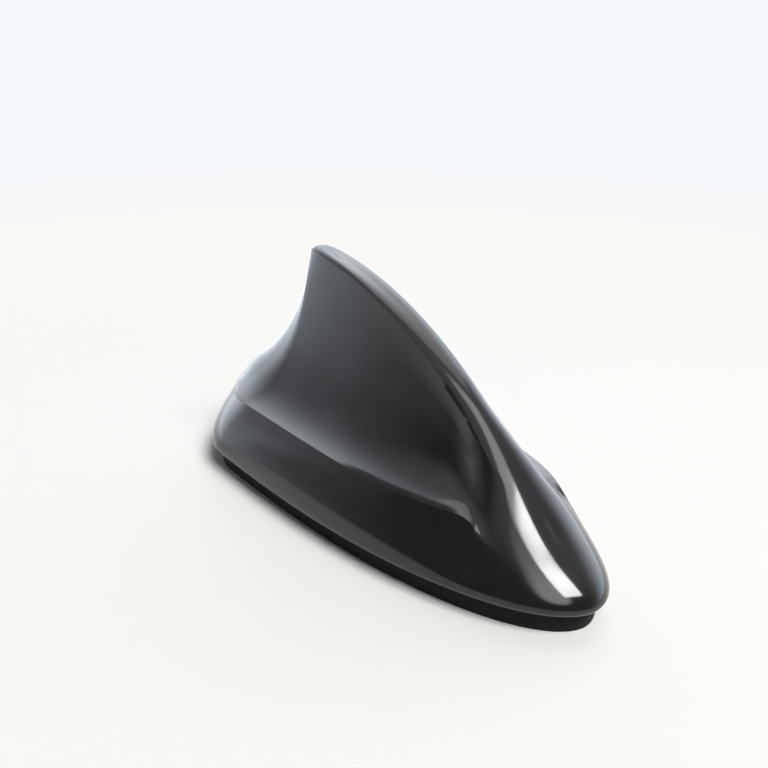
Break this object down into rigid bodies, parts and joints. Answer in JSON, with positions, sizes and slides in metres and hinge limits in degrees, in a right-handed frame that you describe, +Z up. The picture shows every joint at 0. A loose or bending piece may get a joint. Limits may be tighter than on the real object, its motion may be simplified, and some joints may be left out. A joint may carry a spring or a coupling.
{
  "type": "gps antenna",
  "caption": "Shark-fin satellite and radio antenna: gloss black moulded housing on a die-cast base with a rubber roof seal.",
  "frame": {"origin": "under the middle of the housing, on the plane that the roof seal's ribs rest on", "axes": "+X towards the nose, +Y towards the left side, +Z up out of the roof"},
  "size_m": [0.15, 0.062, 0.0638],
  "materials": {
    "black_gloss": "high gloss black lacquer",
    "seal_rubber": "matt moulded rubber",
    "cast_alloy": "bare die casting",
    "screw_steel": "zinc plated",
    "board_green": "solder-resist laminate",
    "adhesive": "double-sided foam tape",
    "patch_ceramic": "fired dielectric ceramic",
    "silver": "silvered or tinned",
    "chip_black": "moulded epoxy",
    "gold": "gold-flashed contact metal",
    "copper": "etched copper",
    "holder_plastic": "natural moulded plastic",
    "foam": "closed-cell foam"
  },
  "bodies": {
    "root": {"housing": "black_gloss", "roof_seal": "seal_rubber", "base_plate": "cast_alloy", "housing_seal": "seal_rubber", "housing_screws": "screw_steel", "cable_grommet": "seal_rubber", "main_board": "board_green", "board_screws": "screw_steel", "patch_pad": "adhesive", "ceramic_patch": "patch_ceramic", "patch_electrode": "silver", "feed_pin": "silver", "shield_can": "silver", "amplifier_chip": "chip_black", "filter_chips": "patch_ceramic", "chip_capacitors": "patch_ceramic", "coax_socket": "gold", "socket_pin": "gold", "blade_board": "board_green", "blade_track": "copper", "blade_holder": "holder_plastic", "contact_spring": "gold", "blade_foam": "foam"}
  },
  "joints": []
}
